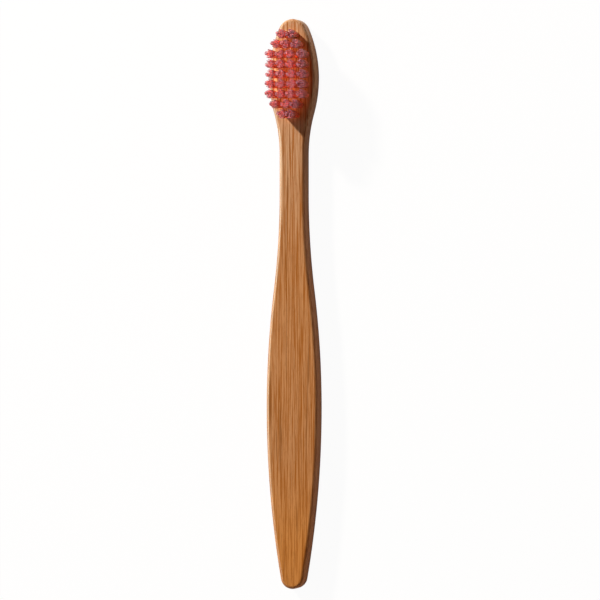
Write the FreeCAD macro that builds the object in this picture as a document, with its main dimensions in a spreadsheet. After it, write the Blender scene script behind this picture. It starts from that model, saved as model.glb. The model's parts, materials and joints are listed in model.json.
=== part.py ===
import FreeCAD, Part
import math
import os

import Sketcher

# A manual toothbrush: a flat bamboo handle, thirty folded bristle tufts set in blind holes in its head,
# and thirty small metal anchors, one driven down through the fold of each tuft.
# The brush lies on its flat back: +Y runs to the head's tip, +X to the right and +Z up the bristles.
# The origin is on the back, under the middle of the handle.

# Driving dimensions in millimetres. A station is measured along the handle from its tail end.
SIZES = {
    # handle outline
    "overall_length": 150.0,
    "tail_radius": 3.1,
    "grip_station": 47.6,
    "grip_width": 13.85,
    "neck_length": 10.3,
    "neck_width": 6.85,
    "neck_to_tip": 35.7,
    "head_width": 12.4,
    "head_to_tip": 15.4,
    "head_tip_radius": 3.75,
    "grip_bend_share": 0.55,
    "head_bend_share": 0.54,
    # handle section
    "thickness": 6.0,
    "edge_radius": 0.9,
    # tuft holes
    "field_to_tip": 14.8,
    "row_pitch": 2.62,
    "column_pitch": 2.5,
    "hole_diameter": 1.6,
    "hole_depth": 3.2,
    # anchors
    "anchor_width": 2.0,
    "anchor_height": 1.4,
    "anchor_thickness": 0.25,
    "anchor_clearance": 0.01,
    # tufts
    "bristle_height": 8.5,
    "tip_diameter": 2.3,
    "end_round": 0.3,
    "fold_depth": 0.6,
    "tuft_clearance": 0.02,
}

# Sizes that follow from the driving ones, as formulas of the same sheet.
# A flank is the arc that touches an end's round and runs parallel to the handle at its widest station.
DERIVED = {
    "grip_half": "grip_width / 2",
    "neck_half": "neck_width / 2",
    "head_half": "head_width / 2",
    "neck_end": "overall_length - neck_to_tip",
    "neck_start": "neck_end - neck_length",
    "head_station": "overall_length - head_to_tip",
    "field_station": "overall_length - field_to_tip",
    "tail_reach": "grip_station - tail_radius",
    "tail_flank": "(tail_reach^2 + grip_half^2 - tail_radius^2) / (2 * (grip_half - tail_radius))",
    "tail_turn_share": "tail_radius / (tail_flank - tail_radius)",
    "tip_centre": "overall_length - head_tip_radius",
    "tip_reach": "head_to_tip - head_tip_radius",
    "tip_flank": "(tip_reach^2 + head_half^2 - head_tip_radius^2) / (2 * (head_half - head_tip_radius))",
    "tip_turn_share": "head_tip_radius / (tip_flank - head_tip_radius)",
    "root_radius": "hole_diameter / 2 - tuft_clearance",
    "root_depth": "hole_depth - tuft_clearance",
    "anchor_depth": "root_depth - fold_depth",
    "slot_width": "anchor_width + 2 * anchor_clearance",
    "slot_thickness": "anchor_thickness + 2 * anchor_clearance",
    "tip_spread": "tip_diameter / 2 - root_radius",
}

# Tufts in each row, from the head's tip towards the neck.
TUFTS_IN_ROW = (2, 3, 4, 4, 4, 4, 4, 3, 2)

# Sides of a tuft, whose filaments pack into a bundle that is only roughly round.
BUNDLE_SIDES = 8

# How far out of level an edge may be, as a share of its shape's height.
LEVEL_SHARE = 0.001

# The vertices of a sketch's lines and arcs, and its origin, as constraints number them.
START, END, CENTRE = range(1, 4)
ORIGIN = (-1, START)
UPRIGHT = FreeCAD.Vector(0, 0, 1)

document = FreeCAD.newDocument("Toothbrush")
sheet = document.addObject("Spreadsheet::Sheet", "Sizes")
for number, (alias, value) in enumerate(SIZES.items(), start=1):
    sheet.set(f"A{number}", alias)
    sheet.set(f"B{number}", str(value))
    sheet.setAlias(f"B{number}", alias)
for number, (alias, formula) in enumerate(DERIVED.items(), start=1):
    sheet.set(f"D{number}", alias)
    sheet.set(f"E{number}", f"={formula}")
    sheet.setAlias(f"E{number}", alias)
document.recompute()


# Bodies, and sketches tied to the sheet
def value_of(words):
    """The number that a formula of the sheet's sizes gives."""
    return float(sheet.evalExpression(words))


def add_body(name, across="0", along="0", up="0"):
    """A body whose own origin stands at three formulas."""
    body = document.addObject("PartDesign::Body", name)
    body.Label = name
    body.setExpression("Placement.Base.x", across)
    body.setExpression("Placement.Base.y", along)
    body.setExpression("Placement.Base.z", up)
    return body


def origin_item(body, role):
    """One of a body's own planes or axes."""
    return next(item for item in body.Origin.OriginFeatures if item.Role == role)


def located(point):
    """The place that a point's two formulas give."""
    return FreeCAD.Vector(value_of(point[0]), value_of(point[1]))


def arc_between(low, high, centre_height):
    """The arc through two places whose centre is at a given height, and its vertices at those places."""
    rise = (high.y - centre_height) ** 2 - (low.y - centre_height) ** 2
    centre_across = (high.x**2 - low.x**2 + rise) / (2 * (high.x - low.x))
    centre = FreeCAD.Vector(centre_across, centre_height)
    turn = 2 * math.pi
    low_angle, high_angle = (math.atan2(place.y - centre.y, place.x - centre.x) for place in (low, high))
    circle = Part.Circle(centre, UPRIGHT, centre.distanceToPoint(low))
    if (high_angle - low_angle) % turn < math.pi:
        return Part.ArcOfCircle(circle, low_angle, high_angle), (START, END)
    return Part.ArcOfCircle(circle, high_angle % turn, low_angle % turn), (END, START)


class Drawing:
    """A sketch on one of a body's planes, whose lines and tied constraints are gathered and added together."""

    def __init__(self, body, name, plane_role, lift="0"):
        self.sketch = body.newObject("Sketcher::SketchObject", name)
        self.sketch.AttachmentSupport = [(origin_item(body, plane_role), "")]
        self.sketch.MapMode = "FlatFace"
        self.sketch.setExpression("AttachmentOffset.Base.z", lift)
        self.edges = []
        self.constraints = []
        self.formulas = {}

    def add(self, edge):
        """Gather a line, arc or circle, and give its number."""
        self.edges.append(edge)
        return len(self.edges) - 1

    def relate(self, kind, *places):
        """A constraint without a size."""
        self.constraints.append(Sketcher.Constraint(kind, *places))

    def size(self, kind, *places, words):
        """A constraint whose size is tied to a formula."""
        self.formulas[len(self.constraints)] = words
        self.relate(kind, *places, value_of(words))

    def pin(self, item, vertex, point):
        """Hold a vertex at two formulas, one across the sketch and one up it."""
        self.size("DistanceX", *ORIGIN, item, vertex, words=point[0])
        self.size("DistanceY", *ORIGIN, item, vertex, words=point[1])

    def outline(self, first_point, steps):
        """A closed outline. A step is the next point, and its arc's centre height or None for a line."""
        low = first_point
        ends = []
        for point, centre_height in (*steps, (first_point, None)):
            if centre_height is None:
                item = self.add(Part.LineSegment(located(low), located(point)))
                vertices = (START, END)
            else:
                edge, vertices = arc_between(located(low), located(point), value_of(centre_height))
                item = self.add(edge)
                self.size("DistanceY", *ORIGIN, item, CENTRE, words=centre_height)
            self.pin(item, vertices[0], low)
            ends.append((item, *vertices))
            low = point
        for (item, _, end), (next_item, start, _) in zip(ends, ends[1:] + ends[:1]):
            self.relate("Coincident", item, end, next_item, start)

    def rectangle(self, centre, width, height):
        """A rectangle about a centre, held at two opposite corners."""
        left, right = (f"{centre[0]} {sign} {width} / 2" for sign in "-+")
        low, high = (f"{centre[1]} {sign} {height} / 2" for sign in "-+")
        corners = [(left, low), (right, low), (right, high), (left, high)]
        places = [located(corner) for corner in corners]
        sides = [self.add(Part.LineSegment(*ends)) for ends in zip(places, places[1:] + places[:1])]
        for side, next_side, direction in zip(sides, sides[1:] + sides[:1], ["Horizontal", "Vertical"] * 2):
            self.relate(direction, side)
            self.relate("Coincident", side, END, next_side, START)
        self.pin(sides[0], START, corners[0])
        self.pin(sides[2], START, corners[2])

    def bundle(self, radius):
        """The section of a bundle about the sketch's origin, with flats across and along it."""
        corners = []
        for number in range(BUNDLE_SIDES):
            angle = math.pi * (2 * number + 1) / BUNDLE_SIDES
            corners.append((f"{radius} * {math.cos(angle):.6f}", f"{radius} * {math.sin(angle):.6f}"))
        self.outline(corners[0], [(corner, None) for corner in corners[1:]])

    def circle(self, centre, diameter):
        """A circle about a centre."""
        item = self.add(Part.Circle(located(centre), UPRIGHT, value_of(diameter) / 2))
        self.pin(item, CENTRE, centre)
        self.size("Diameter", item, words=diameter)

    def finish(self):
        """Add all that was gathered, and give the sketch."""
        self.sketch.addGeometry(self.edges, False)
        self.sketch.addConstraint(self.constraints)
        for index, words in self.formulas.items():
            self.sketch.setExpression(f"Constraints[{index}]", words)
        document.recompute()
        return self.sketch


def extrude(body, kind, name, sketch, length):
    """A pad or a pocket of a sketch by a formula."""
    feature = body.newObject(f"PartDesign::{kind}", name)
    feature.Profile = sketch
    feature.setExpression("Length", length)
    body.Tip = feature
    document.recompute()
    return feature


def end_edges(shape):
    """The names of the edges that lie level at a shape's top and bottom."""
    box = shape.BoundBox
    near = box.ZLength * LEVEL_SHARE
    names = []
    for number, edge in enumerate(shape.Edges, start=1):
        low, high = edge.BoundBox.ZMin, edge.BoundBox.ZMax
        if high - low < near and (low - box.ZMin < near or box.ZMax - high < near):
            names.append(f"Edge{number}")
    return names


def upright_faces(shape):
    """The names of the faces that reach from a shape's bottom to its top."""
    height = shape.BoundBox.ZLength * (1 - LEVEL_SHARE)
    return [f"Face{number}" for number, face in enumerate(shape.Faces, start=1) if face.BoundBox.ZLength > height]


# Where the tufts stand
def row_station(row):
    """A row's station, counted both ways from the field's middle row."""
    rows_above = (len(TUFTS_IN_ROW) - 1) / 2 - row
    return f"Sizes.field_station + Sizes.row_pitch * {rows_above}"


def column_offset(row, column):
    """A tuft's place across its row."""
    columns_right = column - (TUFTS_IN_ROW[row] - 1) / 2
    return f"Sizes.column_pitch * {columns_right}"


TUFTS = [(row, column) for row, count in enumerate(TUFTS_IN_ROW) for column in range(count)]


# Handle: a flat blank with rounded edges, blind holes in its head and a cut for each anchor
def bend_point(share, low, high):
    """Where the two arcs of a bend meet, a share of the way along the line between its ends."""
    return tuple(f"{start} + {share} * ({end} - {start})" for start, end in zip(low, high))


def right_side():
    """The right edge's steps from the tail's end to the head's tip."""
    grip = ("Sizes.grip_half", "Sizes.grip_station")
    neck_start = ("Sizes.neck_half", "Sizes.neck_start")
    neck_end = ("Sizes.neck_half", "Sizes.neck_end")
    head = ("Sizes.head_half", "Sizes.head_station")
    tail_turn = (
        "Sizes.tail_turn_share * (Sizes.tail_flank - Sizes.grip_half)",
        "Sizes.tail_radius - Sizes.tail_turn_share * Sizes.tail_reach",
    )
    tip_turn = (
        "Sizes.tip_turn_share * (Sizes.tip_flank - Sizes.head_half)",
        "Sizes.tip_centre + Sizes.tip_turn_share * Sizes.tip_reach",
    )
    return (
        (tail_turn, "Sizes.tail_radius"),
        (grip, grip[1]),
        (bend_point("Sizes.grip_bend_share", grip, neck_start), grip[1]),
        (neck_start, neck_start[1]),
        (neck_end, None),
        (bend_point("Sizes.head_bend_share", neck_end, head), neck_end[1]),
        (head, head[1]),
        (tip_turn, head[1]),
        (("0", "Sizes.overall_length"), "Sizes.tip_centre"),
    )


def make_handle():
    body = add_body("handle", along="-Sizes.overall_length / 2")

    half_outline = Drawing(body, "HalfOutline", "XY_Plane")
    half_outline.outline(("0", "0"), right_side())
    half = extrude(body, "Pad", "HalfBlank", half_outline.finish(), "Sizes.thickness")

    blank = body.newObject("PartDesign::Mirrored", "Blank")
    blank.Originals = [half]
    blank.MirrorPlane = (origin_item(body, "YZ_Plane"), [""])
    body.Tip = blank
    document.recompute()

    rounding = body.newObject("PartDesign::Fillet", "RoundedEdges")
    rounding.Base = (blank, end_edges(blank.Shape))
    rounding.setExpression("Radius", "Sizes.edge_radius")
    body.Tip = rounding
    document.recompute()

    centres = Drawing(body, "HoleCentres", "XY_Plane", lift="Sizes.thickness")
    for row, column in TUFTS:
        centres.circle((column_offset(row, column), row_station(row)), "Sizes.hole_diameter")
    holes = body.newObject("PartDesign::Hole", "TuftHoles")
    holes.Profile = centres.finish()
    holes.DepthType = "Dimension"
    holes.DrillPoint = "Flat"
    holes.setExpression("Diameter", "Sizes.hole_diameter")
    holes.setExpression("Depth", "Sizes.hole_depth")
    body.Tip = holes
    document.recompute()

    for row, count in enumerate(TUFTS_IN_ROW):
        cuts = Drawing(body, f"Row{row + 1}Cuts", "XY_Plane", lift="Sizes.thickness")
        for column in range(count):
            place = (column_offset(row, column), row_station(row))
            cuts.rectangle(place, "Sizes.slot_width", "Sizes.slot_thickness")
        extrude(body, "Pocket", f"Row{row + 1}Slots", cuts.finish(), "Sizes.anchor_depth")
    return body


# Tuft: a bundle folded in half over its anchor, slim in its hole and spread at its trimmed tip
def make_tuft(row, column):
    body = add_body(
        f"tuft_row{row + 1}_{column + 1}",
        column_offset(row, column),
        f"{row_station(row)} - Sizes.overall_length / 2",
        "Sizes.thickness",
    )
    section = Drawing(body, "BundleSection", "XY_Plane")
    section.bundle("Sizes.root_radius")
    bristles = extrude(body, "Pad", "Bristles", section.finish(), "Sizes.bristle_height")

    spread = body.newObject("PartDesign::Draft", "Spread")
    spread.Base = (bristles, upright_faces(bristles.Shape))
    spread.NeutralPlane = (origin_item(body, "XY_Plane"), [""])
    spread.Reversed = True
    spread.setExpression("Angle", "atan(Sizes.tip_spread / Sizes.bristle_height)")
    body.Tip = spread
    document.recompute()

    root = extrude(body, "Pad", "Root", section.sketch, "Sizes.root_depth")
    root.Reversed = True
    document.recompute()

    trim = body.newObject("PartDesign::Chamfer", "TrimmedTipAndFold")
    trim.Base = (root, end_edges(root.Shape))
    trim.setExpression("Size", "Sizes.end_round")
    body.Tip = trim
    document.recompute()

    middle = ("0", "-Sizes.anchor_depth + Sizes.anchor_height / 2")
    gap = Drawing(body, "GapOutline", "YZ_Plane", lift="-Sizes.hole_diameter")
    gap.rectangle(middle, "Sizes.slot_thickness", "Sizes.anchor_height")
    fold = body.newObject("PartDesign::Pocket", "AnchorGap")
    fold.Profile = gap.finish()
    fold.Type = "ThroughAll"
    fold.Midplane = True
    body.Tip = fold
    document.recompute()
    return body


# Anchors: the flat metal plates of one row, each wider than its hole
def make_anchors(row):
    body = add_body(
        f"anchors_row{row + 1}",
        along=f"{row_station(row)} - Sizes.overall_length / 2",
        up="Sizes.thickness - Sizes.anchor_depth",
    )
    plates = Drawing(body, "PlateOutlines", "XY_Plane")
    for column in range(TUFTS_IN_ROW[row]):
        plates.rectangle((column_offset(row, column), "0"), "Sizes.anchor_width", "Sizes.anchor_thickness")
    extrude(body, "Pad", "Plates", plates.finish(), "Sizes.anchor_height")
    return body


bodies = [make_handle()]
bodies += [make_tuft(row, column) for row, column in TUFTS]
bodies += [make_anchors(row) for row in range(len(TUFTS_IN_ROW))]
document.recompute()

for item in document.Objects:
    if {"Invalid", "Error"} & set(item.State):
        raise RuntimeError(f"{item.Label} failed: {item.State}")
for body in bodies:
    if body.Shape.isNull() or not body.Shape.isValid():
        raise RuntimeError(f"{body.Label} has no valid shape")

os.makedirs("parts", exist_ok=True)
for body in bodies:
    body.Shape.exportStep(f"parts/{body.Label}.step")
    print(f"{body.Label}: {len(body.Shape.Solids)} solids, {body.Shape.Volume:.3f} mm3")
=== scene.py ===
# %% [markdown]
# A bamboo toothbrush with thirty tufts of red nylon, photographed from above in low studio light.
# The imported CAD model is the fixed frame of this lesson. It says where the handle, every tuft and every
# anchor is, so it is loaded first, and each piece made below takes its place from it.

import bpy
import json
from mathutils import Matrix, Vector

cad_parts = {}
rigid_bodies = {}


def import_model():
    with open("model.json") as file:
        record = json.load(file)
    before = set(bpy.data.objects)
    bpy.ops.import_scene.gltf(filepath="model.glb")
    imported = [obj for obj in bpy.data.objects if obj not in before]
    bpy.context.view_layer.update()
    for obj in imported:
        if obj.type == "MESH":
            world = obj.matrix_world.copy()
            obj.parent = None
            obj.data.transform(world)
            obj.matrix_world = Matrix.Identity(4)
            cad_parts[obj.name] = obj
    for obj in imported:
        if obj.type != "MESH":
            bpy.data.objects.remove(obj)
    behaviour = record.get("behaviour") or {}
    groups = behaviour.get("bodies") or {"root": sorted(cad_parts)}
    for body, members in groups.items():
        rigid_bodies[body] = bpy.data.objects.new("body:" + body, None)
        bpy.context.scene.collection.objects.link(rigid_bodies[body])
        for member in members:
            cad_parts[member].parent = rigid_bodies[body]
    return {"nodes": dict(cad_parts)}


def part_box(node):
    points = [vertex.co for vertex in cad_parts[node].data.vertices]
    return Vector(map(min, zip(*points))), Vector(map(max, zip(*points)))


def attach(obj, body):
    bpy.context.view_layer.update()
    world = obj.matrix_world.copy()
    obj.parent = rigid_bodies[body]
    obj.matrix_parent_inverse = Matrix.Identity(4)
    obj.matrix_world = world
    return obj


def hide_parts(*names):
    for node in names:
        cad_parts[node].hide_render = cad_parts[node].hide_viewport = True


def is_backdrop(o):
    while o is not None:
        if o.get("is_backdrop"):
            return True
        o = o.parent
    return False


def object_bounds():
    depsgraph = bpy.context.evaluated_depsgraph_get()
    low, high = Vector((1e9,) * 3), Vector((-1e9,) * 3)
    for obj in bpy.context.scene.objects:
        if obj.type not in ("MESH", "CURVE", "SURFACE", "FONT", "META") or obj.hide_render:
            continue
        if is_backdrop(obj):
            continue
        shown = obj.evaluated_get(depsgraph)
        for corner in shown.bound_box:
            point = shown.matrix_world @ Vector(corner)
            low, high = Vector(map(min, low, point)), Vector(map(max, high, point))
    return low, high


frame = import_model()
cad_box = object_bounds()
print("CAD nodes:", len(frame["nodes"]), "box:", [[round(c, 5) for c in corner] for corner in cad_box])

# %% [markdown]
# Blender works in metres here, and a toothbrush is easier to think of in millimetres, so every length of the
# brush is written in millimetres and multiplied by MM. Colours are written as a paint chart gives them, from
# 0 to 255. The sRGB standard has one rule for the dark values and one for the rest, which turn these numbers
# into the linear values that shaders add and multiply.

# %% Units and colours
import json
import math
import random

import bmesh
import bpy
from mathutils import Vector

MM = 0.001
FULL = 255
SRGB_DARK_END = 0.04045
SRGB_DARK_SLOPE = 12.92
SRGB_OFFSET = 0.055
SRGB_POWER = 2.4


def linear(value):
    """The linear value of one part of a colour that is given from 0 to 255."""
    share = value / FULL
    if share <= SRGB_DARK_END:
        return share / SRGB_DARK_SLOPE
    return ((share + SRGB_OFFSET) / (1 + SRGB_OFFSET)) ** SRGB_POWER


def colour(red, green, blue):
    """A linear colour with full alpha."""
    return linear(red), linear(green), linear(blue), 1


print("the middle of the paint chart as a linear value:", round(linear(FULL / 2), 3))

# %% [markdown]
# Modelling by hand means going into edit mode, selecting something by its place and using an operator on it.
# These small helpers do the going in and the selecting. An operator acts on all that is selected, so each
# helper that selects starts by deselecting everything.

# %% Helpers: choose a piece, points and edges
def only(piece):
    """Select one object alone and make it active."""
    if bpy.context.mode != "OBJECT":
        bpy.ops.object.mode_set(mode="OBJECT")
    bpy.ops.object.select_all(action="DESELECT")
    bpy.context.view_layer.objects.active = piece
    piece.select_set(True)


def edit(piece):
    """Open one object in edit mode with nothing selected."""
    only(piece)
    bpy.ops.object.mode_set(mode="EDIT")
    bpy.ops.mesh.select_all(action="DESELECT")


def leave():
    """Go back to object mode."""
    bpy.ops.object.mode_set(mode="OBJECT")


def pick_points(test):
    """Select, in edit mode, the vertices whose place passes a test, and give the middle of them."""
    bpy.ops.mesh.select_all(action="DESELECT")
    mesh = bpy.context.edit_object.data
    shape = bmesh.from_edit_mesh(mesh)
    picked = [point for point in shape.verts if test(point.co)]
    for point in picked:
        point.select = True
    middle = sum((point.co for point in picked), Vector()) / max(len(picked), 1)
    shape.select_flush_mode()
    bmesh.update_edit_mesh(mesh)
    return middle


def pick_edges(test):
    """Select, in edit mode, the edges whose two ends pass a test together."""
    bpy.ops.mesh.select_all(action="DESELECT")
    mesh = bpy.context.edit_object.data
    shape = bmesh.from_edit_mesh(mesh)
    for edge in shape.edges:
        if test(*[point.co for point in edge.verts]):
            edge.select = True
    bmesh.update_edit_mesh(mesh)


# %% [markdown]
# The handle's outline and the bristles' strands are both drawn as lines: one vertex is put at the start, and
# extruding or spinning it draws the next stretch. Two heights that differ by less than NEAR count as one.

# %% Helpers: draw lines and arcs
NEAR = 0.01 * MM


def first_point(name, place):
    """A new object of one vertex: a small plane whose corners are merged at its centre."""
    bpy.ops.object.select_all(action="DESELECT")
    bpy.ops.mesh.primitive_plane_add(size=MM, location=place)
    point = bpy.context.object
    point.name = name
    bpy.ops.object.transform_apply(location=True, rotation=True, scale=True)
    bpy.ops.object.mode_set(mode="EDIT")
    bpy.ops.mesh.merge(type="CENTER")
    return point


def draw_line(step):
    """Extrude the selected vertices by a step."""
    bpy.ops.mesh.extrude_vertices_move(TRANSFORM_OT_translate={"value": step})


def draw_arc(centre, angle, steps, axis=(0, 0, 1)):
    """Spin the selected vertices round a centre, counterclockwise as seen from the axis's head."""
    bpy.ops.mesh.spin(steps=steps, angle=-angle, center=centre, axis=axis)


# %% [markdown]
# A modifier is added, set and applied in one go. A shape that repeats is modelled once and copied, each copy
# with its own mesh. A finished piece's object stays at the origin, with its place in its mesh.

# %% Helpers: modifiers, copies and places
def use_modifier(piece, kind, **settings):
    """Add a modifier, set it and apply it."""
    only(piece)
    bpy.ops.object.modifier_add(type=kind)
    modifier = piece.modifiers[-1]
    for name, value in settings.items():
        setattr(modifier, name, value)
    bpy.ops.object.modifier_apply(modifier=modifier.name)


def copy_of(piece, name):
    """A copy of an object with its own mesh."""
    made = piece.copy()
    made.data = piece.data.copy()
    made.name = name
    bpy.context.scene.collection.objects.link(made)
    return made


def place_at(piece, place):
    """Move a piece and put its place in its mesh, so that its object stays at the origin."""
    only(piece)
    piece.location = place
    bpy.ops.object.transform_apply(location=True, rotation=True, scale=True)


# %% [markdown]
# Finishes are made of shader nodes, and a node graph is long to write link by link. So one small class wraps
# the output of a node: adding, subtracting or multiplying it, or taking its size with abs, adds the Math node
# that does so.

# %% Helpers for finishes: a signal
class Signal:
    """One output socket of a shader node."""

    def __init__(self, graph, socket):
        self.graph = graph
        self.socket = socket

    def math(self, operation, first, second=0.0):
        return self.graph.node("ShaderNodeMath", {"operation": operation}, {0: first, 1: second})

    def __add__(self, other):
        return self.math("ADD", self, other)

    def __sub__(self, other):
        return self.math("SUBTRACT", self, other)

    def __rsub__(self, other):
        return self.math("SUBTRACT", other, self)

    def __mul__(self, other):
        return self.math("MULTIPLY", self, other)

    def __abs__(self):
        return self.math("ABSOLUTE", self)

    __radd__ = __add__
    __rmul__ = __mul__

    def between(self, low, high):
        """0 at low, 1 at high, and smooth between them. High may be below low."""
        inputs = {"Value": self, "From Min": low, "From Max": high}
        return self.graph.node("ShaderNodeMapRange", {"interpolation_type": "SMOOTHSTEP"}, inputs)


# %% [markdown]
# All other nodes come from one method of the graph that they stand in. It sets a node's own settings first,
# because some of them change its sockets, and the sockets after them. The world has such a graph, and so has
# each finish, which is a graph around one Principled shader.

# %% Helpers for finishes: graphs
# Numbers of the sockets of a Mix node that mixes colours
MIX_LOW = 6
MIX_HIGH = 7
MIX_RESULT = 2


class Graph:
    """A tree of shader nodes."""

    def __init__(self, tree):
        self.tree = tree

    def node(self, kind, settings=None, inputs=None, output=0):
        """Add a node, set it, feed it and give one of its outputs."""
        made = self.tree.nodes.new(kind)
        for name, value in (settings or {}).items():
            setattr(made, name, value)
        for name, value in (inputs or {}).items():
            self.feed(made.inputs[name], value)
        return Signal(self, made.outputs[output])

    def feed(self, socket, value):
        """Link a signal to a socket, or set a plain value on it."""
        if isinstance(value, Signal):
            self.tree.links.new(value.socket, socket)
        else:
            socket.default_value = value

    def part(self, vector, letter):
        """The X, Y or Z of a vector."""
        return self.node("ShaderNodeSeparateXYZ", None, {0: vector}, output=letter)

    def blend(self, amount, low, high):
        """One colour at 0 and another at 1."""
        inputs = {0: amount, MIX_LOW: low, MIX_HIGH: high}
        return self.node("ShaderNodeMix", {"data_type": "RGBA"}, inputs, output=MIX_RESULT)


class Finish(Graph):
    """A material around one Principled shader."""

    def __init__(self, name, **fixed):
        self.material = bpy.data.materials.new(name)
        self.material.use_nodes = True
        super().__init__(self.material.node_tree)
        self.shader = self.tree.nodes["Principled BSDF"]
        for socket, value in fixed.items():
            self.feed_shader(socket.replace("_", " "), value)

    def feed_shader(self, name, value):
        self.feed(self.shader.inputs[name], value)

    def places(self, scale=(1, 1, 1), shift=(0, 0, 0)):
        """Object coordinates in metres, shifted and then scaled."""
        own = self.node("ShaderNodeTexCoord", output="Object")
        moved = self.node("ShaderNodeVectorMath", {"operation": "ADD"}, {0: own, 1: shift})
        return self.node("ShaderNodeVectorMath", {"operation": "MULTIPLY"}, {0: moved, 1: scale})

    def noise(self, lumps, detail, roughness=0.5, shift=(0, 0, 0)):
        """Noise with this many lumps in a metre each way."""
        inputs = {"Vector": self.places(lumps, shift), "Scale": 1.0, "Detail": detail, "Roughness": roughness}
        return self.node("ShaderNodeTexNoise", {"noise_dimensions": "3D"}, inputs)

    def finish_with(self, base, roughness, height=None, relief=0.0, strength=1.0):
        """Feed the shader, with a height of 0 to 1 turned into a relief in metres."""
        self.feed_shader("Base Color", base)
        self.feed_shader("Roughness", roughness)
        if height is not None:
            inputs = {"Strength": strength, "Distance": relief, "Height": height}
            self.feed_shader("Normal", self.node("ShaderNodeBump", None, inputs))

    def put_on(self, piece):
        piece.data.materials.clear()
        piece.data.materials.append(self.material)


# %% [markdown]
# The brush fills the height of a square picture. The camera stands far above it with a long lens and leans
# thirteen degrees to the right, which is why the right wall of the handle shows as a narrow strip and the
# tips of the bristles lean to the left. The lens follows from the picture's width at the handle.

# %% Camera
PICTURE_WIDTH = 158.1 * MM
CAMERA_DISTANCE = 1300 * MM
CAMERA_LEAN = math.radians(13)
CAMERA_SEES_FROM = 10 * MM
AIM = Vector((1.556 * MM, 1.05 * MM, 3 * MM))
SENSOR = 36.0

camera_data = bpy.data.cameras.new("camera")
camera_data.sensor_width = SENSOR
camera_data.lens = SENSOR * CAMERA_DISTANCE / PICTURE_WIDTH
camera_data.clip_start = CAMERA_SEES_FROM
camera = bpy.data.objects.new("camera", camera_data)
bpy.context.scene.collection.objects.link(camera)
toward_camera = Vector((math.sin(CAMERA_LEAN), 0, math.cos(CAMERA_LEAN)))
camera.location = AIM + toward_camera * CAMERA_DISTANCE
camera.rotation_euler = (0, CAMERA_LEAN, 0)
bpy.context.scene.camera = camera
print("camera lens in mm:", round(camera_data.lens, 1))

# %% [markdown]
# One soft lamp stands to the upper left, only 30 degrees above the table, and draws the long shadow of the
# bristles on the neck. Its power follows from its distance and height: on an upward face it gives LAMP_SHARE
# of the light under which a colour shows as it is written, and the world gives about the rest. It makes no
# highlights. Those come from the softbox further down, whose place is chosen for them.

# %% Lamp
LAMP_ELEVATION = math.radians(30)
LAMP_TURN = math.radians(132)
LAMP_DISTANCE = 1.2
LAMP_SIZE = 0.12
LAMP_SHARE = 0.85


def add_lamp(name, kind, power, **settings):
    """A new lamp with the given settings of its light."""
    light = bpy.data.lights.new(name, type=kind)
    light.energy = power
    for setting, value in settings.items():
        setattr(light, setting, value)
    made = bpy.data.objects.new(name, light)
    bpy.context.scene.collection.objects.link(made)
    return made


def stand(made, elevation, turn, distance):
    """Stand a lamp at a distance from the brush, facing it."""
    level = math.cos(elevation)
    outward = Vector((level * math.cos(turn), level * math.sin(turn), math.sin(elevation)))
    made.location = outward * distance
    made.rotation_euler = outward.to_track_quat("Z", "Y").to_euler()


bpy.context.scene.view_settings.view_transform = "Standard"
lamp_power = LAMP_SHARE * math.pi**2 * LAMP_DISTANCE**2 / math.sin(LAMP_ELEVATION)
lamp = add_lamp("lamp", "AREA", lamp_power, shape="DISK", size=LAMP_SIZE)
stand(lamp, LAMP_ELEVATION, LAMP_TURN, LAMP_DISTANCE)
lamp.visible_glossy = False
print("lamp power in W:", round(lamp_power, 2))

# %% [markdown]
# A dim warm world fills the shaded sides. It is lightest on the left, and from DARK_FROM on towards the right
# it is at its darkest, which draws the dark line along the handle's right wall. Only its light is dim: the
# camera itself sees plain white.

# %% World
FILL_LEFT = (0.38, 0.34, 0.27, 1)
FILL_RIGHT = (0.07, 0.025, 0.008, 1)
LIGHTEST_AT = -1
DARK_FROM = 0.45
WHITE = (1, 1, 1, 1)

world = bpy.data.worlds.new("studio")
bpy.context.scene.world = world
world.use_nodes = True
studio = Graph(world.node_tree)
rightward = studio.part(studio.node("ShaderNodeTexCoord", output="Generated"), "X")
span = {"Value": rightward, "From Min": LIGHTEST_AT, "From Max": DARK_FROM}
fill = studio.blend(studio.node("ShaderNodeMapRange", None, span), FILL_LEFT, FILL_RIGHT)
seen_world = studio.node("ShaderNodeLightPath", output="Is Camera Ray")
backdrop = studio.tree.nodes["Background"]
studio.feed(backdrop.inputs["Color"], studio.blend(seen_world, fill, WHITE))
studio.feed(backdrop.inputs["Strength"], 1.0)
print("nodes of the world:", len(studio.tree.nodes))

# %% [markdown]
# The floor is a sheet of white paper. Where the camera sees it, most of its white is its own, and a small
# diffuse share keeps the brush's shadow. To the brush it is a lit sheet that also glows a little, which lifts
# the lower part of the walls.

# %% Floor
FLOOR_SIZE = 3.0
FLOOR_GAP = 0.02 * MM
FLOOR_OWN_WHITE = 0.8
FLOOR_GLOW = 0.16
PAPER = (0.95, 0.85, 0.74, 1)
PAPER_ROUGHNESS = 0.9

bpy.ops.object.select_all(action="DESELECT")
bpy.ops.mesh.primitive_plane_add(size=FLOOR_SIZE, location=(0, 0, -FLOOR_GAP))
floor = bpy.context.object
floor.name = "floor"
floor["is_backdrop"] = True
paper = Finish("paper", Base_Color=PAPER, Roughness=PAPER_ROUGHNESS)
white = paper.node("ShaderNodeEmission", None, {"Color": WHITE, "Strength": 1.0})
seen_floor = paper.node("ShaderNodeLightPath", output="Is Camera Ray")
lit = Signal(paper, paper.shader.outputs[0])
own_white = seen_floor * FLOOR_OWN_WHITE + FLOOR_GLOW
sheet = paper.node("ShaderNodeMixShader", None, {0: own_white, 1: lit, 2: white})
paper.feed(paper.tree.nodes["Material Output"].inputs["Surface"], sheet)
paper.put_on(floor)
print("share of its own white that the camera sees:", round(FLOOR_OWN_WHITE + FLOOR_GLOW, 2))

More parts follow.
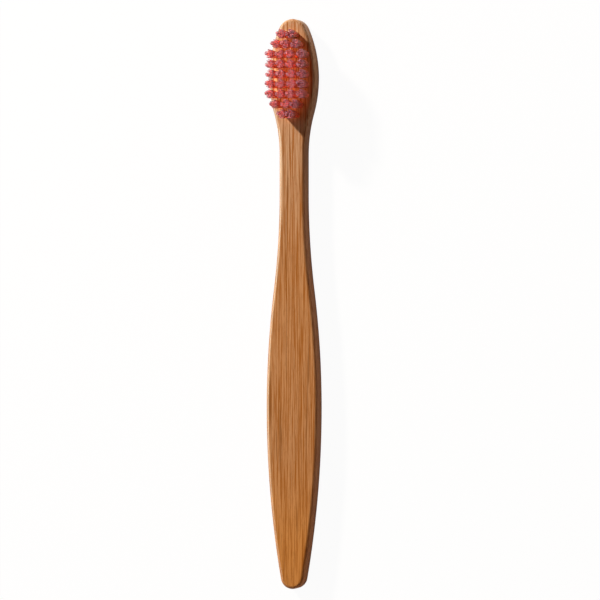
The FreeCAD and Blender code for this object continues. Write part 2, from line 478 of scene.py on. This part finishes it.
# %% [markdown]
# The handle is sawn out of a flat strip of bamboo along a flowing line: a small round tail, a full grip, a
# slim neck and an oval head. A saw's template is drawn with arcs that run into each other, and so is this
# outline. A spin of one vertex about an arc's centre draws the arc exactly, so the right side is a chain of
# spins, and a mirror gives the left side.

# %% Handle: the sizes of its outline
LENGTH = 150 * MM
THICKNESS = 6 * MM
EDGE_RADIUS = 0.9 * MM
TAIL_RADIUS = 3.1 * MM
TIP_RADIUS = 3.75 * MM
GRIP = Vector((6.925 * MM, 47.6 * MM))
NECK_START = Vector((3.425 * MM, 104 * MM))
NECK_END = Vector((3.425 * MM, 114.3 * MM))
HEAD = Vector((6.2 * MM, 134.6 * MM))
GRIP_BEND_SHARE = 0.55
HEAD_BEND_SHARE = 0.54
TAIL_CENTRE = Vector((0, TAIL_RADIUS))
TIP_CENTRE = Vector((0, LENGTH - TIP_RADIUS))
GRIP_BEND = GRIP.lerp(NECK_START, GRIP_BEND_SHARE)
HEAD_BEND = NECK_END.lerp(HEAD, HEAD_BEND_SHARE)


def flank_centre(widest, round_centre, round_radius):
    """The centre, level with the widest place, of the arc that runs into an end's round."""
    reach = abs(widest.y - round_centre.y)
    radius = (reach**2 + widest.x**2 - round_radius**2) / (2 * (widest.x - round_radius))
    return Vector((widest.x - radius, widest.y))


def arc_centre(level_place, other_place):
    """The centre, level with one place, of the arc through it and another."""
    rise = (other_place.y - level_place.y) ** 2
    across = (other_place.x**2 + rise - level_place.x**2) / (2 * (other_place.x - level_place.x))
    return Vector((across, level_place.y))


tail_flank = flank_centre(GRIP, TAIL_CENTRE, TAIL_RADIUS)
tip_flank = flank_centre(HEAD, TIP_CENTRE, TIP_RADIUS)
tail_turn = TAIL_CENTRE + (TAIL_CENTRE - tail_flank).normalized() * TAIL_RADIUS
tip_turn = TIP_CENTRE + (TIP_CENTRE - tip_flank).normalized() * TIP_RADIUS
flank_radii = [(GRIP - tail_flank).length, (HEAD - tip_flank).length]
print("arcs of the grip and the head, radius in mm:", [round(radius / MM, 1) for radius in flank_radii])

# %% [markdown]
# Each arc is given by its centre and the place where it ends, and the straight neck has no centre. The number
# of steps follows from an arc's length, so that the edge stays smooth, and a short arc gets ROUND_STEPS.

# %% Handle: the outline
ARCS = (
    (TAIL_CENTRE, tail_turn),
    (tail_flank, GRIP),
    (arc_centre(GRIP, GRIP_BEND), GRIP_BEND),
    (arc_centre(NECK_START, GRIP_BEND), NECK_START),
    (None, NECK_END),
    (arc_centre(NECK_END, HEAD_BEND), HEAD_BEND),
    (arc_centre(HEAD, HEAD_BEND), HEAD),
    (tip_flank, tip_turn),
    (TIP_CENTRE, Vector((0, LENGTH))),
)
ARC_STEP = 0.9 * MM
ROUND_STEPS = 12
SHIFT = Vector((0, LENGTH / 2))

here = Vector((0, 0))
handle = first_point("handle_bamboo", (*(here - SHIFT), 0))
for centre, end in ARCS:
    if centre is None:
        draw_line((*(end - here), 0))
    else:
        angle = (here - centre).angle_signed(end - centre)
        length = abs(angle) * (here - centre).length
        steps = max(round(length / ARC_STEP), ROUND_STEPS)
        draw_arc((*(centre - SHIFT), 0), -angle, steps)
    here = end
leave()
print("outline points on the right side:", len(handle.data.vertices))

# %% [markdown]
# The mirrored outline is filled with one face and extruded to the strip's thickness. Both rims are then
# rounded, as a sander does it, with enough segments to catch a smooth line of light along the left side.

# %% Handle: the blank
RIM_SEGMENTS = 6
ROUND_PROFILE = 0.5

use_modifier(handle, "MIRROR", use_mirror_merge=True, merge_threshold=NEAR)
edit(handle)
bpy.ops.mesh.select_all(action="SELECT")
bpy.ops.mesh.edge_face_add()
bpy.ops.mesh.extrude_region_move(TRANSFORM_OT_translate={"value": (0, 0, THICKNESS)})
bpy.ops.mesh.select_all(action="SELECT")
bpy.ops.mesh.normals_make_consistent(inside=False)
pick_edges(lambda start, end: abs(start.z - end.z) < THICKNESS / 2)
bpy.ops.mesh.bevel(
    offset=EDGE_RADIUS, offset_type="OFFSET", segments=RIM_SEGMENTS, profile=ROUND_PROFILE, affect="EDGES"
)
leave()
print("blank:", len(handle.data.polygons), "faces")

# %% [markdown]
# The head is drilled with thirty blind holes, and each anchor cuts its own narrow slot on the way down, a
# little wider than the hole. One hole cutter and one slot cutter are modelled and copied to the places of
# the CAD tufts, and two Boolean modifiers take them out of the blank. The drills leave a flat floor.

# %% Handle: a cutter for every tuft
tuft_nodes = sorted(name for name in frame["nodes"] if name.startswith("tuft"))
tuft_places = {}
for name in tuft_nodes:
    low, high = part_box(name)
    tuft_places[name] = ((low.x + high.x) / 2, (low.y + high.y) / 2, 0)


def cut_at_tufts(cutter):
    """Copy a cutter to every tuft's place, join the copies and cut them out of the handle."""
    copies = [copy_of(cutter, f"cut_{name}") for name in tuft_nodes]
    for copy, name in zip(copies, tuft_nodes):
        place_at(copy, tuft_places[name])
    only(cutter)
    bpy.ops.object.delete()
    only(copies[0])
    for copy in copies:
        copy.select_set(True)
    bpy.ops.object.join()
    cutters = bpy.context.object
    use_modifier(handle, "BOOLEAN", operation="DIFFERENCE", solver="EXACT", object=cutters)
    only(cutters)
    bpy.ops.object.delete()


print("places of tufts:", len(tuft_places))

# %% [markdown]
# Both cutters reach above the wood, so that no thin skin is left on top. The hole's is a cylinder, and the
# slot's a cube that is scaled to a thin plate.

# %% Handle: holes and slots
HOLE_RADIUS = 0.8 * MM
HOLE_FLOOR = 2.8 * MM
HOLE_SIDES = 24
ANCHOR_BOTTOM = 3.42 * MM
ANCHOR_TOP = 4.82 * MM
SLOT_WIDTH = 2.02 * MM
SLOT_THICKNESS = 0.27 * MM
CUTTER_TOP = 7 * MM

bpy.ops.object.select_all(action="DESELECT")
middle = (HOLE_FLOOR + CUTTER_TOP) / 2
bpy.ops.mesh.primitive_cylinder_add(
    vertices=HOLE_SIDES, radius=HOLE_RADIUS, depth=CUTTER_TOP - HOLE_FLOOR, location=(0, 0, middle)
)
bpy.ops.object.transform_apply(location=True, rotation=True, scale=True)
cut_at_tufts(bpy.context.object)

bpy.ops.object.select_all(action="DESELECT")
middle = (ANCHOR_BOTTOM + CUTTER_TOP) / 2
bpy.ops.mesh.primitive_cube_add(size=1, location=(0, 0, middle))
bpy.context.object.scale = (SLOT_WIDTH, SLOT_THICKNESS, CUTTER_TOP - ANCHOR_BOTTOM)
bpy.ops.object.transform_apply(location=True, rotation=True, scale=True)
cut_at_tufts(bpy.context.object)
print("drilled handle:", len(handle.data.polygons), "faces")

# %% [markdown]
# The rounded rims have to shade as curves while the two broad faces stay flat and the rims of the holes
# stay crisp. Smooth shading by angle marks the crisp edges, and weighted normals let the broad faces win.

# %% Handle: shading
SHARP_ANGLE = math.radians(35)
BROAD_FACE_WEIGHT = 100

only(handle)
bpy.ops.object.shade_smooth_by_angle(angle=SHARP_ANGLE)
use_modifier(
    handle, "WEIGHTED_NORMAL", keep_sharp=True, weight=BROAD_FACE_WEIGHT, mode="FACE_AREA_WITH_ANGLE"
)
print("smooth faces of the handle:", sum(face.use_smooth for face in handle.data.polygons))

# %% [markdown]
# Bamboo is a grass: its board is a bundle of long fibres with darker sap vessels between them, and the whole
# runs along the handle. The finish is noise squeezed across the grain and stretched along it, five times
# over: broad bands of tone, darker streaks, fine threads, sparse dark vessels that taper at their ends, and
# short pores. The noise is a solid one, so the walls show the same lines and the two ends show the cut
# fibres as dots. Each noise is read at a shift of its own, so that no two of them have the same lumps.

# %% Bamboo: the grain
# Lumps in a metre across the board, along it and through its thickness
BAND_LUMPS = (420, 10, 420)
STREAK_LUMPS = (3700, 58, 3700)
THREAD_LUMPS = (3600, 75, 3600)
VESSEL_LUMPS = (3400, 50, 3400)
PORE_LUMPS = (4600, 700, 4600)

bamboo = Finish("bamboo", Specular_IOR_Level=0.25, Coat_Roughness=0.35)
# Between the two values at the end of a line, the noise turns from none of the mark to all of it
bands = bamboo.noise(BAND_LUMPS, detail=2, shift=(0.3, 0, 0)).between(0.42, 0.6)
streaks = bamboo.noise(STREAK_LUMPS, detail=2, roughness=0.6, shift=(0, 0.4, 0)).between(0.5, 0.6)
threads = bamboo.noise(THREAD_LUMPS, detail=1, shift=(0, 0, 0.2))
vessels = bamboo.noise(VESSEL_LUMPS, detail=0, shift=(0.1, 0.7, 0)).between(0.33, 0.25)
pores = bamboo.noise(PORE_LUMPS, detail=1, shift=(0.5, 0.1, 0))
print("nodes of the grain:", len(bamboo.tree.nodes))

# %% [markdown]
# The wood is honey-coloured at the grip, more golden at the tail and paler towards the head. Under the tufts,
# in an oval about the middle of the field, it is palest and most orange: that is painted light, standing for
# the red light that the nylon passes on to the wood between the tufts. The grain lies over these colours. A
# table keeps the layers in their order, and a loop blends each one over what lies below it.

# %% Bamboo: the colours
HONEY = colour(190, 132, 83)
GOLD = colour(185, 120, 61)
TAIL_GOLD = colour(199, 127, 54)
PALE = colour(197, 162, 129)
# Painted light: the pale orange glow that the nylon passes on to the wood between the tufts
PAINTED_NYLON_LIGHT = colour(232, 171, 118)
AMBER = colour(154, 84, 10)
VESSEL = colour(126, 72, 20)
FIELD_MIDDLE = 60.2 * MM
FIELD_HALF = (4.7 * MM, 12 * MM)
# Where a colour begins and where it is full: places along the handle, and shares of the oval's half size
TAIL_FADE = (-35 * MM, -68 * MM)
HEAD_FADE = (-5 * MM, 70 * MM)
FIELD_FADE_SHARES = (1.1, 0.95)

along_handle = bamboo.part(bamboo.places(), "Y")
field_scale = (1 / FIELD_HALF[0], 1 / FIELD_HALF[1], 0)
field_places = bamboo.places(field_scale, shift=(0, -FIELD_MIDDLE, 0))
from_field = bamboo.node("ShaderNodeVectorMath", {"operation": "LENGTH"}, {0: field_places}, output="Value")

# Where each layer lies, how strongly it covers the ones below it, and its colour
LAYERS = (
    (bands, 0.2, GOLD),
    (along_handle.between(*TAIL_FADE), 0.8, TAIL_GOLD),
    (along_handle.between(*HEAD_FADE), 0.65, PALE),
    # painted light in the oval under the tufts, standing for the glow that the nylon passes on
    (from_field.between(*FIELD_FADE_SHARES), 0.7, PAINTED_NYLON_LIGHT),
    (streaks, 0.85, AMBER),
    (vessels, 0.65, VESSEL),
    (threads.between(0.5, 0.38), 0.45, AMBER),
    (pores.between(0.5, 0.3), 0.2, VESSEL),
)
wood = HONEY
for layer, cover, tint in LAYERS:
    wood = bamboo.blend(layer * cover, wood, tint)
print("layers of colour:", len(LAYERS))

# %% [markdown]
# The same noises make the relief: whatever is dark in the grain lies a little deeper than the wood round it.
# The broad faces are only sanded, and the two rounded rims are polished, so they alone carry a clear coat. It
# begins where a rim bends away from its face, and ends on the way down to the wall.

# %% Bamboo: the relief and the coat
THREAD_HEIGHT = 0.5
PORE_HEIGHT = 0.4
VESSEL_DEPTH = 0.5
STREAK_DEPTH = 0.2
RELIEF = 0.03 * MM
RELIEF_STRENGTH = 0.6
LEAST_ROUGH = 0.4
THREAD_ROUGHNESS = 0.2
# Depths below the nearer face, from no coat to a full one, where the coat comes in and where it goes out
COAT_COMES_IN = (0.002 * MM, 0.035 * MM)
COAT_GOES_OUT = (0.4 * MM, 0.25 * MM)

above_back = bamboo.part(bamboo.places(), "Z")
below_face = THICKNESS / 2 - abs(above_back - THICKNESS / 2)
bamboo.feed_shader("Coat Weight", below_face.between(*COAT_COMES_IN) * below_face.between(*COAT_GOES_OUT))
grain = threads * THREAD_HEIGHT + pores * PORE_HEIGHT - vessels * VESSEL_DEPTH - streaks * STREAK_DEPTH
bamboo.finish_with(wood, threads * THREAD_ROUGHNESS + LEAST_ROUGH, grain, RELIEF, RELIEF_STRENGTH)
bamboo.put_on(handle)
print("nodes of the whole finish:", len(bamboo.tree.nodes))

# %% [markdown]
# A tuft is a bundle of nylon strands folded in half. A flat metal anchor is driven into the hole across the
# fold, so every strand goes down on one side of the anchor, under it and up on the other side. The line of
# one strand is drawn first: from its tip straight down to the fold, half a turn under the anchor, and up
# again. Strands that start further from the anchor are flattened at the fold, where the hole's floor is.

# %% Tufts: the lines of the strands
BRISTLE_TOP = 14.5 * MM
TIP_ROUND = 0.06 * MM
RINGS = (7.3 * MM, 11 * MM, BRISTLE_TOP - TIP_ROUND)
FOLD_STEPS = 3
STRAND_GAP = 0.166 * MM
# Places of each row of strands from the anchor's middle, at the anchor and at the wood's face, then the
# lowest place of the fold's line and the strands in the row
STRAND_ROWS = (
    (0.22 * MM, 0.10 * MM, 3.25 * MM, 9),
    (0.36 * MM, 0.27 * MM, 3.13 * MM, 8),
    (0.50 * MM, 0.44 * MM, 3.02 * MM, 7),
    (0.64 * MM, 0.61 * MM, 2.93 * MM, 4),
)


def strand_row(out, out_above, lowest, count):
    """The lines of one row of folded strands, side by side along the anchor."""
    heights = (THICKNESS, *RINGS)
    rises = [high - low for low, high in zip(heights, heights[1:])]
    closing = out - out_above
    line = first_point("strand_line", (-STRAND_GAP * (count - 1) / 2, -out_above, RINGS[-1]))
    for rise in reversed(rises):
        draw_line((0, 0, -rise))
    draw_line((0, -closing, ANCHOR_TOP - THICKNESS))
    draw_line((0, 0, ANCHOR_BOTTOM - ANCHOR_TOP))
    draw_arc((0, 0, ANCHOR_BOTTOM), math.pi, FOLD_STEPS, axis=(1, 0, 0))
    draw_line((0, 0, ANCHOR_TOP - ANCHOR_BOTTOM))
    draw_line((0, -closing, THICKNESS - ANCHOR_TOP))
    for rise in rises:
        draw_line((0, 0, rise))
    pick_points(lambda place: place.z < ANCHOR_BOTTOM + NEAR)
    turn_depth = out * math.sin(math.pi / FOLD_STEPS)
    flatten = (ANCHOR_BOTTOM - lowest) / turn_depth
    bpy.ops.transform.resize(value=(1, 1, flatten), center_override=(0, 0, ANCHOR_BOTTOM))
    leave()
    use_modifier(
        line, "ARRAY", count=count, use_relative_offset=False, use_constant_offset=True,
        constant_offset_displace=(STRAND_GAP, 0, 0),
    )
    return line


rows = [strand_row(*row) for row in STRAND_ROWS]
only(rows[0])
for row in rows:
    row.select_set(True)
bpy.ops.object.join()
bundle = bpy.context.object
strand_count = sum(row[-1] for row in STRAND_ROWS)
print("folded strands in a tuft:", strand_count, "with", len(bundle.data.vertices), "points")

# %% [markdown]
# No two tufts stand alike. The strands flare as soon as they leave the wood, each leans its own way, and all
# are cut to one level. So each tuft gets its own copy of the bundle of lines, which is spread, scattered with
# a seed of its own, levelled again and leaned at three heights. This brush has been stroked towards its left,
# where the outer tips of each tuft draw together into a tooth.

# %% Tufts: flare, scatter and tooth
# At each ring: how far the strands are spread across the brush and along it, and the share of the lean
SPREADS = ((1.18, 1.2, 0.8), (1.42, 1.62, 1), (1.34, 1.72, 1))
SCATTER = 0.13 * MM
TOOTH_HALF_ANGLE = math.radians(58)
TOOTH_TURN = math.radians(25)
TOOTH_REACH = 0.26 * MM
TOOTH_WIDTH_SHARE = 0.65


def shape_tuft(lines, seed, lean):
    """Spread, lean and scatter the strands of one tuft that stands at the origin, and pull out its tooth."""
    edit(lines)
    for height, (across, along, lean_share) in zip(RINGS, SPREADS):
        height_share = (height - THICKNESS) / (RINGS[-1] - THICKNESS)
        pick_points(lambda place: abs(place.z - height) < NEAR)
        bpy.ops.transform.resize(value=(across, along, 1), center_override=(0, 0, height))
        bpy.ops.transform.vertex_random(offset=SCATTER * height_share, uniform=0.0, normal=0.0, seed=seed)
        bpy.ops.transform.resize(value=(1, 1, 0), center_override=(0, 0, height))
        bpy.ops.transform.translate(value=(lean * lean_share, 0, 0))
    toward = math.pi + random.Random(seed).uniform(-TOOTH_TURN, TOOTH_TURN)
    middle = pick_points(
        lambda place: place.z > RINGS[-1] - NEAR
        and math.cos(math.atan2(place.y, place.x - lean) - toward) > math.cos(TOOTH_HALF_ANGLE)
    )
    bpy.ops.transform.resize(value=(1, TOOTH_WIDTH_SHARE, 1), center_override=middle)
    bpy.ops.transform.translate(value=(TOOTH_REACH * math.cos(toward), TOOTH_REACH * math.sin(toward), 0))
    pick_points(lambda place: place.z > RINGS[-1] - NEAR)
    draw_line((0, 0, TIP_ROUND))
    leave()


# %% [markdown]
# A strand's section is a small pentagon, which is round enough for a nylon thread less than a fifth of a
# millimetre thick. The lines become curves that carry this section. Each end point has a smaller radius,
# because the tips of good bristles are rounded so that they don't scratch. As a mesh, each tube's flat caps
# are then welded to its wall.

# %% Tufts: thickness
STRAND_RADIUS = 0.09 * MM
SECTION_SIDES = 5
ROUNDED_SHARE = 0.7
WELD = 0.001 * MM

bpy.ops.object.select_all(action="DESELECT")
bpy.ops.mesh.primitive_circle_add(vertices=SECTION_SIDES, radius=STRAND_RADIUS)
bpy.ops.object.convert(target="CURVE")
section = bpy.context.object


def thicken(lines):
    """Turn the lines of a tuft into closed round strands."""
    only(lines)
    bpy.ops.object.convert(target="CURVE")
    curve = bpy.context.object.data
    for spline in curve.splines:
        spline.points[0].radius = ROUNDED_SHARE
        spline.points[-1].radius = ROUNDED_SHARE
    curve.bevel_mode = "OBJECT"
    curve.bevel_object = section
    curve.use_fill_caps = True
    bpy.ops.object.convert(target="MESH")
    edit(bpy.context.object)
    bpy.ops.mesh.select_all(action="SELECT")
    bpy.ops.mesh.remove_doubles(threshold=WELD)
    bpy.ops.mesh.normals_make_consistent(inside=False)
    leave()
    bpy.ops.object.shade_smooth()
    return bpy.context.object


# %% [markdown]
# Nylon lets light in and spreads it, so a bundle looks deep orange-red near the wood, where the light has
# passed many strands, and a cooler pink at the cut tips. The height of a place above the handle's back gives
# the mix, fine noise across the bundle makes one strand a little darker than the next, and subsurface light
# softens the whole bundle. Red light travels furthest in it, so its radius is the longest. The colours are
# darker than the bristles look, because the light that they pass on comes on top of them.

# %% Finish of the bristles
ROOT_RED = colour(176, 88, 48)
BODY_RED = colour(170, 83, 61)
TIP_PINK = colour(158, 113, 127)
DARK_RED = colour(138, 52, 54)
BODY_HEIGHTS = (6 * MM, 12 * MM)
TIP_HEIGHTS = (11 * MM, 14.4 * MM)
STRAND_LUMPS = (4200, 4200, 40)
DARK_SHARE = 0.5
NYLON_IOR = 1.53
PASSED_SHARE = 0.55
PASSED_REACH = 1.2 * MM
PASSED_REACH_SHARES = (1.0, 0.5, 0.4)
LEAST_NYLON_ROUGHNESS = 0.3
STRAND_ROUGHNESS = 0.2

nylon = Finish(
    "nylon", IOR=NYLON_IOR, Subsurface_Weight=PASSED_SHARE, Subsurface_Radius=PASSED_REACH_SHARES,
    Subsurface_Scale=PASSED_REACH,
)
nylon.shader.subsurface_method = "BURLEY"
height = nylon.part(nylon.places(), "Z")
strand_tone = nylon.noise(STRAND_LUMPS, detail=1)
red = nylon.blend(height.between(*BODY_HEIGHTS), ROOT_RED, BODY_RED)
red = nylon.blend(height.between(*TIP_HEIGHTS), red, TIP_PINK)
red = nylon.blend(strand_tone.between(0.55, 0.35) * DARK_SHARE, red, DARK_RED)
nylon.finish_with(red, strand_tone * STRAND_ROUGHNESS + LEAST_NYLON_ROUGHNESS)
print("nodes of the nylon:", len(nylon.tree.nodes))

# %% [markdown]
# Now the thirty tufts are made, each from its copy of the bundle, and set where the CAD tuft is. The outer
# columns lean outwards a little, as bristles do that are crowded in the middle, and the table adds how each
# tuft leans in the photo: the right column a little more to the right, and a few others their own way.

# %% Tufts: all thirty
FIRST_SEED = 11
LEAN_SHARE = 0.08
TENTH = 0.1 * MM
# How far each tuft of a row leans to the right of its place, in tenths of a millimetre
LEANS = (
    (2, 0),
    (1, 0, 0),
    (-1, -1, -2, 2),
    (0, 0, 0, 2),
    (1, 1, 3, 4),
    (-1, 1, 3, 2),
    (-1, 0, 0, 2),
    (-2, 1, -2),
    (3, -1),
)
tuft_leans = [lean for row in LEANS for lean in row]

tufts = []
for number, name in enumerate(tuft_nodes):
    across, along, _ = tuft_places[name]
    lines = copy_of(bundle, name.replace("tuft", "bristles"))
    lean = across * LEAN_SHARE + tuft_leans[number] * TENTH
    shape_tuft(lines, FIRST_SEED + number, lean)
    tuft = thicken(lines)
    place_at(tuft, (across, along, 0))
    nylon.put_on(tuft)
    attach(tuft, "root")
    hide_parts(name)
    tufts.append(tuft)
for helper in (bundle, section):
    only(helper)
    bpy.ops.object.delete()
print("tufts:", len(tufts), "faces in one:", len(tufts[0].data.polygons))

# %% [markdown]
# In the real brush, the light that falls on its left side wanders on from strand to strand and comes out red
# between the tufts. That takes more steps than a renderer follows. Four weak red lamps stand for this light:
# one at the left of the head that fades to the right, one far to the right for the sides where the light
# comes out again, one for the tips of the last tuft of each row, which the first two leave out, and a strip
# over the wood. Only the handle blocks them, and each reaches nothing but its own pieces.

# %% Light that the nylon passes on
last_names = [f"bristles_row{number}_{len(row)}" for number, row in enumerate(LEANS, 1)]
last_tufts = [tuft for tuft in tufts if tuft.name in last_names]
other_tufts = [tuft for tuft in tufts if tuft.name not in last_names]

# The name, kind, place in mm, colour, power in W, pieces and size of each lamp
GLOWS = (
    (
        "tuft_glow", "POINT", (-20, 61, 14), (1.0, 0.62, 0.47), 0.0094, other_tufts,
        {"shadow_soft_size": 5 * MM},
    ),
    ("far_glow", "POINT", (60, 61, 30), (1.0, 0.6, 0.5), 0.047, other_tufts, {}),
    ("tip_glow", "POINT", (-40, 61, 45), (1.0, 0.62, 0.6), 0.032, last_tufts, {}),
    (
        "wood_glow", "AREA", (-1, 60.2, 10), (1.0, 0.34, 0.18), 0.0005, [handle],
        {"shape": "RECTANGLE", "size": 3 * MM, "size_y": 18 * MM},
    ),
)


def group(name, pieces):
    """A collection of pieces that a lamp refers to."""
    made = bpy.data.collections.new(name)
    for piece in pieces:
        made.objects.link(piece)
    return made


for name, kind, place, tint, power, pieces, size in GLOWS:
    glow = add_lamp(name, kind, power, color=tint, **size)
    glow.location = Vector(place) * MM
    glow.visible_camera = False
    glow.light_linking.receiver_collection = group(f"{name} reaches", pieces)
    glow.light_linking.blocker_collection = group(f"{name} is blocked by", [handle])
    print(name, "reaches", len(pieces), "pieces")

# %% [markdown]
# A tall softbox on the left gives the left rim of the handle its pale line. Its light is cool like that of a
# window. It only makes highlights, and only on the handle: the polished rim mirrors it over its whole length,
# and the flat face, which has no coat, mirrors it away from the camera.

# %% Softbox for the rim
SOFTBOX_DISTANCE = 1.2
SOFTBOX_ELEVATION = math.radians(26)
SOFTBOX_TURN = math.radians(173)
SOFTBOX_WIDTH = 0.6
SOFTBOX_HEIGHT = 0.8
SOFTBOX_POWER = 13
SOFTBOX_COLOUR = (0.65, 1.0, 0.9)

softbox = add_lamp(
    "softbox", "AREA", SOFTBOX_POWER, color=SOFTBOX_COLOUR, shape="RECTANGLE", size=SOFTBOX_WIDTH,
    size_y=SOFTBOX_HEIGHT,
)
stand(softbox, SOFTBOX_ELEVATION, SOFTBOX_TURN, SOFTBOX_DISTANCE)
softbox.visible_camera = False
softbox.visible_diffuse = False
softbox.light_linking.receiver_collection = group("softbox reaches", [handle])
print("softbox at, in m:", [round(c, 2) for c in softbox.location])

# %% [markdown]
# The anchors are small plates cut from flat brass wire. They are hidden in the wood, and their CAD nodes
# already have the right shape, so these only get a finish: brass with fine rolling marks and a dull stain.

# %% Finish of the anchors
BRASS = colour(198, 164, 96)
STAIN = colour(140, 108, 62)
ROLLING_LUMPS = (20000, 20000, 900)
STAIN_LUMPS = (1500, 1500, 1500)
STAIN_SHARE = 0.7
ROLLING_ROUGHNESS = 0.25
LEAST_BRASS_ROUGHNESS = 0.25
ROLLING_RELIEF = 0.01 * MM
ROLLING_STRENGTH = 0.5

brass = Finish("brass", Metallic=1.0)
rolling = brass.noise(ROLLING_LUMPS, detail=2)
stain = brass.noise(STAIN_LUMPS, detail=2).between(0.45, 0.7)
stained = brass.blend(stain * STAIN_SHARE, BRASS, STAIN)
roughness = rolling * ROLLING_ROUGHNESS + LEAST_BRASS_ROUGHNESS
brass.finish_with(stained, roughness, rolling, ROLLING_RELIEF, ROLLING_STRENGTH)
anchors = [node for name, node in frame["nodes"].items() if name.startswith("anchors")]
for anchor in anchors:
    brass.put_on(anchor)
print("anchor nodes with brass:", len(anchors))

# %% [markdown]
# The new handle stands for the CAD handle, and rides on the only body there is, because nothing on a
# toothbrush moves but the bending bristles.

# %% Tie the handle to the frame
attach(handle, "root")
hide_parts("handle")
print("new pieces on the one body:", len(tufts) + 1)

# %% [markdown]
# At the end the two boxes are kept side by side: the CAD model's and the dressed model's. They should agree.

# %% Sizes and finish
shown_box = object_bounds()
boxes = {"cad": [list(corner) for corner in cad_box], "shown": [list(corner) for corner in shown_box]}
for name, box in boxes.items():
    print(name, "box in mm:", [[round(c / MM, 2) for c in corner] for corner in box])
